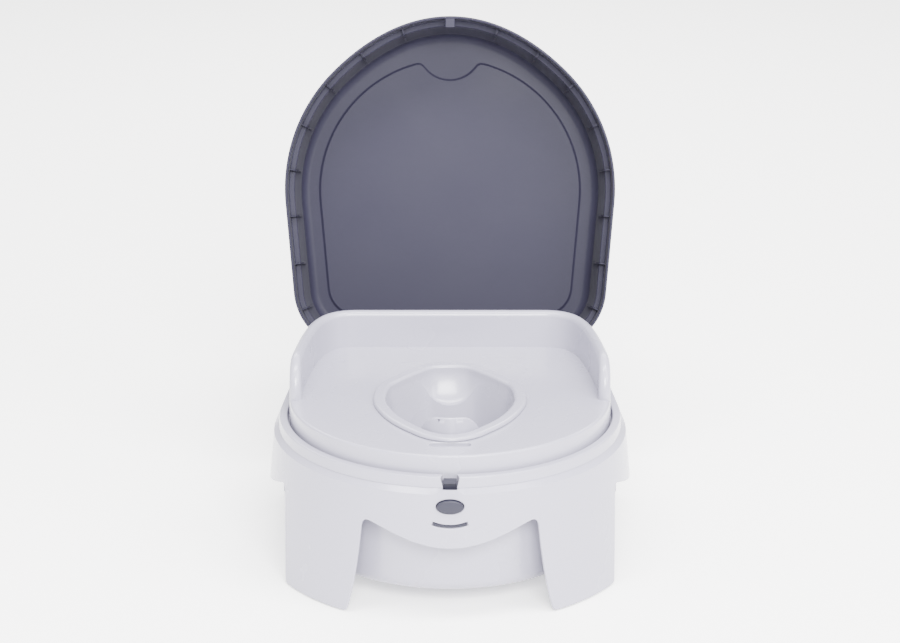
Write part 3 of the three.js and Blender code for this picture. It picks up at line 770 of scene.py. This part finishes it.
def well(skin):
    """The tub that hangs inside the skirt, a thin closed shell."""
    under, floor_top, top = 18, 21, 137
    outer = rounded([[-42, under], [-21.6, under], [-15.6, top]], [13], 10)
    inner = rounded([[-18.5, top], [-24.3, floor_top], [-42, floor_top]], [10.5], 10)
    rows = [skin.add(BASE.loop(offset, z)) for offset, z in np.concatenate([outer, inner])]
    skin.rows(rows)
    skin.faces.append(tuple(rows[0]))
    skin.faces.append(tuple(rows[-1]))


def foot_flanges(skin):
    """The narrow flange inside each foot that its pad is stuck to."""
    for name in ("foot_pad_front_right", "foot_pad_rear_right"):
        low, high = (np.array(c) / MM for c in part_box(name))
        s_range = np.linspace(0, BASE.length / 2, 600)
        xy, out = BASE.point(s_range)
        moved = xy + out * 9.8
        y_low, y_high = low[1] - ORIGIN_Y / MM, high[1] - ORIGIN_Y / MM
        held = (moved[0] >= low[0]) & (moved[1] >= y_low) & (moved[1] <= y_high)
        s = np.linspace(s_range[held][0], s_range[held][-1], 26)
        profile = rounded([[11, 4], [-1, 4], [-1, 7], [11, 7]], [0.8, 0.8], 3)
        for sign in (1, -1):
            xy, out = BASE.point(sign * s)
            rows = []
            for offset, z in profile:
                moved = xy + out * offset
                rows.append(skin.add(np.stack([moved[0], moved[1], np.full(len(s), z)], 1)))
            rows.append(rows[0])
            skin.rows(rows, closed=False)
            skin.faces.append(tuple(row[0] for row in rows[:-1]))
            skin.faces.append(tuple(row[-1] for row in rows[:-1]))


def ear(skin, centre_x):
    """One hinge ear, whose heel stops the open lid."""
    lean = LID_OPEN - math.pi / 2
    up = np.array([math.sin(lean), math.cos(lean)])
    along = np.array([up[1], -up[0]])
    axis = np.array([HINGE_Y, HINGE_Z])
    heel = axis + EAR_RADIUS * up + 5.2 * along
    outline = np.concatenate([
        [[HINGE_Y - 3.5, EAR_FOOT], [HINGE_Y - 1.5, EAR_FOOT], [heel[0], HINGE_Z - 10], heel],
        arc(HINGE_Y, HINGE_Z, EAR_RADIUS, math.pi / 2 - lean, math.pi, 12),
        [[HINGE_Y - EAR_RADIUS, SHOULDER + 0.5], [HINGE_Y - 4.6, 128]],
    ])
    low = centre_x - EAR_WIDTH / 2
    prism(skin, resampled(outline, 2.5), low, low + EAR_WIDTH, 0.5, from_side)


base_visual()


# ---- Seat ---------------------------------------------------------------------------------------

SEAT_SKIN = 3
SEAT_LOW = 140.3
DIP_FLOOR = SEAT_TOP - 4.8
DIP_HALF = 20
DIPS = ((83.2, 92.5), (-139.5, -129.7))  # where each finger dip starts and ends along Y
ARM_LOW = 157.0
ARM_FRONT = -18
ARM_NOSE_Y = 20
ARM_NOSE_LENGTH = 38


def hole_wall(skin, outline, top, bottom, edge, steps=5):
    """The rounded edge and the side of a hole in a flat top. Returns its top and bottom rows."""
    rows = []
    for a in np.linspace(0, math.pi / 2, steps):
        line = inset(outline, -edge * (1 - math.sin(a)))
        rows.append(flat_row(skin, line, top - edge * (1 - math.cos(a))))
    rows.append(flat_row(skin, outline, bottom))
    skin.rows(rows)
    return rows[0], rows[-1]


def seat_visual():
    skin = Skin()
    under = SEAT_TOP - SEAT_SKIN
    outer = rounded([[6.9, SEAT_LOW], [6.4, SEAT_TOP], [-9, SEAT_TOP]], [2.4], 7)
    inner = rounded([[-9, under], [3.4, under], [3.9, SEAT_LOW]], [0.8], 4)
    outside = [skin.add(SEAT.loop(offset, z)) for offset, z in outer]
    inside_rows = [skin.add(SEAT.loop(offset, z)) for offset, z in inner]
    skin.rows(inside_rows + outside)
    bowl_hole = BOWL.loop(-6, 0, 120)[:, :2]
    top, bottom = hole_wall(skin, bowl_hole, SEAT_TOP, under, 0.6)
    tops, bottoms = [top], [bottom]
    for low_y, high_y in DIPS:
        outline = box_outline(-DIP_HALF, DIP_HALF, low_y, high_y, 3.5)
        top, floor = hole_wall(skin, outline, SEAT_TOP, DIP_FLOOR, 1.2)
        tops.append(top)
        skin.faces.append(tuple(floor))
        pan = inset(outline, -2)
        ring = [flat_row(skin, pan, z) for z in (under, DIP_FLOOR - 2.8)]
        skin.rows(ring)
        skin.faces.append(tuple(ring[-1]))
        bottoms.append(ring[0])
    skin.fill([outside[-1]] + tops)
    skin.fill([inside_rows[0]] + bottoms)
    arms(skin)
    return skin.made("seat_moulding", white, "seat", "white_plastic", ["seat_ring"])


def arms(skin):
    """Arms and backrest: one wall round the back of the seat, with a full round rim."""
    nose = arc(0, 0, 1, math.pi, math.pi / 2, 16)
    y = ARM_NOSE_Y + ARM_NOSE_LENGTH * nose[:, 0]
    z = (SEAT_TOP + 1) + (WALL_TOP - SEAT_TOP - 1) * nose[:, 1]
    side_y = np.concatenate([[ARM_FRONT, ARM_FRONT], y])
    side_z = np.concatenate([[ARM_LOW, ARM_LOW + 5], z])
    s = SEAT.where(1, side_y, 60, SEAT.length / 2 - 90)
    right = np.stack([s, side_z], 1)
    left = np.stack([SEAT.length - s, side_z], 1)
    outline = resampled(np.concatenate([right[::-1], left]), 3.5)
    standing_wall(skin, SEAT, outline, lambda h: 6.4 - 0.02 * (h - SEAT_TOP), step_v=7)


seat_visual()


# ---- Bowl ---------------------------------------------------------------------------------------

RIM_LOW = SEAT_TOP + 0.3
BOWL_FLOOR = 30
BOWL_CENTRE = -25
SCOOP_HALF = 29
SCOOP_REACH = 15
SCOOP_DROP = 30
PLAIN_DROP = 4  # how far the inner wall curls in from the rim away from the scoop
BOWL_TAPER = 0.26
BOWL_OUTER = -10.5  # the bowl's outer and inner faces at the rim, from its plan
BOWL_INNER = -13
FLOOR_ROUND = 8
GUARD_MIDDLE = -14
GUARD_THICKNESS = 2.8


def bowl_scale(z):
    """How much the bowl's plan has shrunk at a height, on its way to the floor."""
    depth = np.maximum(0, SEAT_TOP - 3 - z) / (SEAT_TOP - BOWL_FLOOR)
    return 1 - BOWL_TAPER * depth


def scoop(x, y):
    """How much of the rear scoop each point of a bowl loop gets, from 0 to 1."""
    return np.clip(1 - (x / SCOOP_HALF) ** 2, 0, 1) * (y > 0)


def scoop_drop(lobe):
    """How far the bowl's wall curls in under its rim."""
    return PLAIN_DROP + (SCOOP_DROP - PLAIN_DROP) * np.sqrt(lobe)


def bowl_loop(offset, z, count=176):
    """A loop of the bowl's outer face at one height."""
    loop = BOWL.loop(offset, z, count)
    lobe = scoop(loop[:, 0], loop[:, 1])
    fall = np.clip((RIM_LOW - 8 - z) / scoop_drop(lobe), 0, 1)
    loop[:, 1] -= SCOOP_REACH * lobe * (1 - np.sqrt(1 - fall**2))
    scale = bowl_scale(z)
    loop[:, 0] *= scale
    loop[:, 1] = BOWL_CENTRE + (loop[:, 1] - BOWL_CENTRE) * scale
    return loop


def bowl_inside(skin, count=176):
    """The rows of the bowl's inner face, from the rim down. Under the rear lobe a sloping trough
    leads forward to the deep part, and ends in a soft edge that dips in the middle."""
    top_z, floor_z = RIM_LOW - 3.5, BOWL_FLOOR + 3
    rim = BOWL.loop(BOWL_INNER, 0, count)
    x, y = rim[:, 0], rim[:, 1]
    lobe = scoop(x, y)
    shift = SCOOP_REACH * lobe
    drop = scoop_drop(lobe)
    for _ in range(5):
        drop = (np.roll(drop, 1) + 2 * drop + np.roll(drop, -1)) / 4
        shift = (np.roll(shift, 1) + 2 * shift + np.roll(shift, -1)) / 4
    rows = []
    for t in np.linspace(0, math.pi / 2, 15):
        z = top_z - drop * math.sin(t)
        scale = bowl_scale(z)
        forward = shift * (1 - math.cos(t)) ** 0.8
        rows.append((x * scale, BOWL_CENTRE + (y - forward - BOWL_CENTRE) * scale, z))
    for t in np.linspace(0, 1, 22)[1:] ** 1.15:
        z = (top_z - drop) * (1 - t) + (floor_z + FLOOR_ROUND) * t
        scale = bowl_scale(z)
        rows.append((x * scale, BOWL_CENTRE + (y - shift - BOWL_CENTRE) * scale, z))
    x_low, y_low, _ = rows[-1]
    centre = np.array([x_low.mean(), y_low.mean()])
    for angle in np.linspace(0, math.pi / 2, 7)[1:]:
        reach = FLOOR_ROUND * (1 - math.cos(angle))
        away = np.stack([x_low - centre[0], y_low - centre[1]])
        away = away / np.linalg.norm(away, axis=0)
        z = np.full(count, floor_z + FLOOR_ROUND - FLOOR_ROUND * math.sin(angle))
        rows.append((x_low - away[0] * reach, y_low - away[1] * reach, z))
    return [skin.add(np.stack(row, 1)) for row in rows]


def bowl_visual():
    skin = Skin()
    rim = rounded(
        [[BOWL_OUTER, RIM_LOW - 2.5], [BOWL_OUTER, RIM_LOW], [0.2, RIM_LOW], [-0.6, RIM_LOW + 4.2],
         [-12.6, RIM_LOW + 4.6], [BOWL_INNER, RIM_LOW - 3]],
        [0.8, 1.2, 3.4, 3.6], 8)
    outside = [(-20, BOWL_FLOOR), (-15, BOWL_FLOOR + 1.2), (-12, BOWL_FLOOR + 4.2)]
    outside += [(BOWL_OUTER, z) for z in np.linspace(BOWL_FLOOR + 9, RIM_LOW - 42, 8)]
    outside += [(BOWL_OUTER, z) for z in np.linspace(RIM_LOW - 39, RIM_LOW - 3.4, 14)]
    rows = [skin.add(bowl_loop(offset, z)) for offset, z in outside + list(rim[:-1])]
    rows += bowl_inside(skin)
    skin.rows(rows)
    skin.faces.append(tuple(rows[0]))
    skin.faces.append(tuple(rows[-1]))
    guard(skin)
    return skin.made("bowl_moulding", white, "bowl", "white_plastic", ["potty_bowl"])


def guard(skin):
    """The splash guard: a thin upright wall at the front of the bowl's rim."""
    high, peak = GUARD_TOP, GUARD_TOP + 0.9
    edge = np.array([[29, SEAT_TOP - 5], [28.5, SEAT_TOP + 2]])
    shoulder = bezier([28.5, SEAT_TOP + 2], [24.5, high - 8], [19, high - 0.4], [11, high], 12)
    crown = bezier([11, high], [7, high + 0.5], [3, peak], [0, peak], 6)
    half = np.concatenate([edge, shoulder[1:], crown[1:-1]])
    count = 1200
    across = BOWL.loop(GUARD_MIDDLE, 0, count)
    s_all = np.arange(count) * BOWL.length / count
    front = (across[:, 1] < -60) & (across[:, 0] >= 0)
    order = np.argsort(across[front][:, 0])
    s = np.interp(half[:, 0], across[front][order][:, 0], s_all[front][order])
    right = np.stack([s, half[:, 1]], 1)
    outline = resampled(np.concatenate([right, right[::-1] * [-1, 1]]), 1.6)
    standing_wall(
        skin, BOWL, outline, lambda h: np.full(len(h), GUARD_THICKNESS / 2), GUARD_MIDDLE, 4, 5)


bowl_visual()


# ---- Lid ----------------------------------------------------------------------------------------

RIB_SPACES = 23
RIBS_PER_SIDE = 8
CATCH_TIP = -175.3
KNUCKLE_RADIUS = 4.6
KNUCKLE_HALF = 15
MAT_LOW = 213.4
MAT_HIGH = 215.9
open_lid = (
    Matrix.Translation((0, HINGE_Y * MM + ORIGIN_Y, HINGE_Z * MM))
    @ Matrix.Rotation(-LID_OPEN, 4, "X")
    @ Matrix.Translation((0, -HINGE_Y * MM - ORIGIN_Y, -HINGE_Z * MM))
)


def panel_outline(further=0.0):
    """The lid's panel: the base's plan moved in, with a round bite out of its front. The whole
    outline can be moved further in."""
    plan = BASE.loop(-PANEL_INSET - further, 0, 480)[:, :2]
    bite = PANEL_BITE + further
    centre = np.array([0, PANEL_BITE_Y])
    kept = plan[np.linalg.norm(plan - centre, axis=1) > bite]
    a = math.atan2(*(kept[-1] - centre)[::-1])
    b = math.atan2(*(kept[0] - centre)[::-1])
    bitten = arc(centre[0], centre[1], bite, a, b, 36)[1:-1]
    outline = resampled(np.concatenate([kept, bitten]), 3)
    for _ in range(6):
        outline = (np.roll(outline, 1, axis=0) + 2 * outline + np.roll(outline, -1, axis=0)) / 4
    return outline


def lid_visual():
    skin = Skin()
    under = LID_TOP - LID_SKIN
    outer = rounded(
        [[0, LID_LIP], [-0.5, 159.2], [-6.6, 161.2], [-12.2, LID_TOP], [-24, LID_TOP]],
        [2.2, 1.6, 6.0], 7)
    inner = rounded(
        [[-24, under], [-14.9, under], [-9.6, 158.0], [-3.4, 157.4], [-2.8, LID_LIP]],
        [9.0, 1.2, 1.4], 9)
    lip = rounded([[-2.8, 138.4], [-2.8, LID_LIP], [0, LID_LIP], [0, 138.4]], [0.9, 0.9], 4)
    profile = np.concatenate([inner[:-1], lip, outer[1:]])
    rows = [skin.add(LID.loop(offset, z, 300)) for offset, z in profile]
    skin.rows(rows)
    inside_edge = panel_outline()
    steps = [(0.0, 0.0), (0.8, 0.15), (1.6, 0.6), (2.4, 1.2), (3.2, 1.5)]
    rim = [flat_row(skin, inset(inside_edge, inward), under - drop) for inward, drop in steps]
    skin.rows(rim)
    skin.fill([rows[0], rim[0]])
    skin.faces.append(tuple(rim[-1]))
    outside = panel_outline(1.5)
    recess = [flat_row(skin, inset(outside, w), LID_TOP - d) for w, d in ((0, 0), (0.3, 0.6), (0.4, 1.5))]
    skin.rows(recess)
    skin.fill([rows[-1], recess[0]])
    skin.faces.append(tuple(recess[-1]))
    ribs(skin)
    catch(skin)
    for side in (-1, 1):
        knuckle(skin, side * HINGE_X)
    return skin.made("lid_moulding", slate, "lid", "slate_plastic", ["lid_shell"], open_lid)


def ribs(skin):
    """Stiffening ribs across the channel between the lip and the lid's wall."""
    outline = rounded(
        [[-2.2, 153], [-2.2, 150.2], [-9.4, 150.2], [-12.6, 160], [-13.6, 192], [-11.6, 192],
         [-8.2, 163], [-2.2, 158.6], [-2.2, 153]],
        [0, 0.8, 3.0, 0, 0, 0, 0], 4)[:-1]
    spacing = BASE.length / RIB_SPACES
    for k in range(1, RIBS_PER_SIDE + 1):
        for sign in (1, -1):
            xy, out = BASE.point(sign * k * spacing)
            turn = min(abs(math.atan2(xy[0], -xy[1])) / BULGE_ANGLE, 1)
            xy = xy + out * BULGE * (1 + math.cos(math.pi * turn)) / 2

            def place(u, v, w, xy=xy, out=out):
                return np.stack([xy[0] + u * out[0] - w * out[1], xy[1] + u * out[1] + w * out[0], v], 1)

            prism(skin, outline, -0.9, 0.9, 0.35, place)


def catch(skin):
    """The hook in the middle of the lid's front that the latch holds."""
    low, high = LID_LIP + 0.4, 142.0
    outline = np.array([[-186, low], [CATCH_TIP, low], [CATCH_TIP, high], [-182, high], [-186, 147]])
    prism(skin, resampled(outline, 2.5), -5, 5, 0.7, from_side)


def knuckle(skin, x):
    """One hinge knuckle with the web that joins it to the lid's rear wall."""
    turn = np.linspace(math.pi, -math.pi / 2, 26)
    web = [[REAR_EDGE - 1.5, HINGE_Z - 4.3], [REAR_EDGE - 1.5, HINGE_Z + 4.3]]
    barrel = [HINGE_Y, HINGE_Z] + KNUCKLE_RADIUS * np.stack([np.cos(turn), np.sin(turn)], 1)
    barrel = barrel[barrel[:, 0] > HINGE_Y - 1]
    outline = np.concatenate([web, barrel])[::-1]
    prism(skin, outline, x - KNUCKLE_HALF, x + KNUCKLE_HALF, 0.4, from_side)


def mat_visual():
    skin = Skin()
    outline = panel_outline(1.8)
    prism(skin, outline, MAT_LOW, MAT_HIGH, 0.7, from_top)
    dot = oval_outline(5.5, 5.5, 20)
    column_space, row_space = 24, 21
    for row in range(-5, 6):
        for column in range(-4, 5):
            x = column * column_space + (column_space / 2 if row % 2 else 0)
            y = row * row_space + 4
            if inside(np.array([[x, y]]), [inset(outline, 12)])[0]:
                prism(skin, dot + [x, y], MAT_HIGH - 0.5, MAT_HIGH + 0.1, 0.25, from_top)
    return skin.made("mat_moulding", mat_look, "lid", "mat_rubber", ["step_mat"], open_lid)


lid_visual()
mat_visual()


# ---- Latch --------------------------------------------------------------------------------------


PLATE_FRONT = -173.0
PLATE_REAR = -170.8
ROOT = -172.5  # the button, the bar and the tongue's tip start this far inside the plate
TONGUE_HALF = 6.5
TONGUE_TOP = 146.0
TIP_LOW = 142.8


def latch_visual():
    """The rocker: a plate with the button and the lower bar on its front, and the tongue on top."""
    skin = Skin()
    button = oval_outline(13.0, 6.8) + [0, BUTTON_Z]
    flange = oval_outline(15.4, 9.2) + [0, BUTTON_Z]
    prism(skin, button, -184.2, ROOT, 0.9, from_front, dome=0.7)
    prism(skin, flange, -176.6, ROOT, 0.4, from_front)
    prism(skin, smile_band(1.15, 0.33, 20), -183.1, ROOT, 0.35, from_front)
    prism(skin, box_outline(-16, 16, 99.5, 133, 4), PLATE_FRONT, PLATE_REAR, 0.4, from_front)
    tongue = box_outline(-TONGUE_HALF, TONGUE_HALF, 130, TONGUE_TOP, 0.8)
    prism(skin, tongue, PLATE_FRONT, PLATE_REAR, 0.3, from_front)
    tip = np.array([[ROOT, TIP_LOW], [ROOT, TONGUE_TOP], [-177.5, 143.4], [-177.5, TIP_LOW]])
    prism(skin, resampled(tip, 1.5), -TONGUE_HALF, TONGUE_HALF, 0.25, from_side)
    return skin.made("latch_moulding", grey, "latch", "grey_plastic", ["latch_rocker"])


latch_visual()

looks = {"hinge_pin_left": steel, "hinge_pin_right": steel, "latch_spring": steel}
for end in ("front", "rear"):
    for side in ("left", "right"):
        looks[f"foot_pad_{end}_{side}"] = pad_look
for node, look in looks.items():
    mesh = frame["nodes"][node].data
    mesh.materials.clear()
    mesh.materials.append(look)


# ---- Floor, light and camera --------------------------------------------------------------------


FLOOR_REACH = 6.0
CAMERA_PITCH = math.radians(19.5)
CAMERA_BACK = 2.374
CAMERA_HEIGHT = 1.086


def floor():
    """The pale floor that the chair stands on."""
    mesh = bpy.data.meshes.new("floor")
    signs = ((-1, -1), (1, -1), (1, 1), (-1, 1))
    corners = [(x * FLOOR_REACH, y * FLOOR_REACH, 0) for x, y in signs]
    mesh.from_pydata(corners, [], [(0, 1, 2, 3)])
    material = bpy.data.materials.new("floor_look")
    material.use_nodes = True
    shader = material.node_tree.nodes["Principled BSDF"]
    shader.inputs["Base Color"].default_value = (0.92, 0.915, 0.91, 1)
    shader.inputs["Emission Color"].default_value = (1, 1, 1, 1)
    shader.inputs["Emission Strength"].default_value = 0.8
    shader.inputs["Roughness"].default_value = 0.9
    shader.inputs["Specular IOR Level"].default_value = 0.1
    mesh.materials.append(material)
    plane = bpy.data.objects.new("floor", mesh)
    bpy.context.scene.collection.objects.link(plane)


def area_light(name, place, target, width, height, power):
    """A softbox at a place, aimed at a target. Sizes are metres and the power is watts."""
    data = bpy.data.lights.new(name, "AREA")
    data.shape = "RECTANGLE"
    data.size = width
    data.size_y = height
    data.energy = power
    lamp = bpy.data.objects.new(name, data)
    bpy.context.scene.collection.objects.link(lamp)
    lamp.location = place
    lamp.rotation_euler = (Vector(target) - Vector(place)).to_track_quat("-Z", "Y").to_euler()


floor()
area_light("left_softbox", (-1.9, -0.8, 1.3), (0, 0, 0.15), 1.0, 1.4, 10)
area_light("right_softbox", (1.8, -1.2, 1.7), (0, 0, 0.15), 1.4, 1.4, 70)
area_light("front_softbox", (0.4, -2.6, 1.9), (0, 0, 0.2), 1.6, 1.2, 320)
area_light("top_softbox", (0.1, -0.5, 2.2), (0, 0, 0.15), 2.2, 0.5, 120)
area_light("rear_softbox", (0, 1.9, 2.0), (0, 1.6, 0), 3.0, 1.0, 120)

world = bpy.data.worlds.new("studio")
world.use_nodes = True
world.node_tree.nodes["Background"].inputs["Color"].default_value = (1, 1, 1, 1)
world.node_tree.nodes["Background"].inputs["Strength"].default_value = 1.5
bpy.context.scene.world = world

camera_data = bpy.data.cameras.new("camera")
camera_data.sensor_width = 36
camera_data.lens = 99.4
camera = bpy.data.objects.new("camera", camera_data)
bpy.context.scene.collection.objects.link(camera)
camera.location = (0, ORIGIN_Y - CAMERA_BACK, CAMERA_HEIGHT)
camera.rotation_euler = (math.pi / 2 - CAMERA_PITCH, 0, 0)
bpy.context.scene.camera = camera
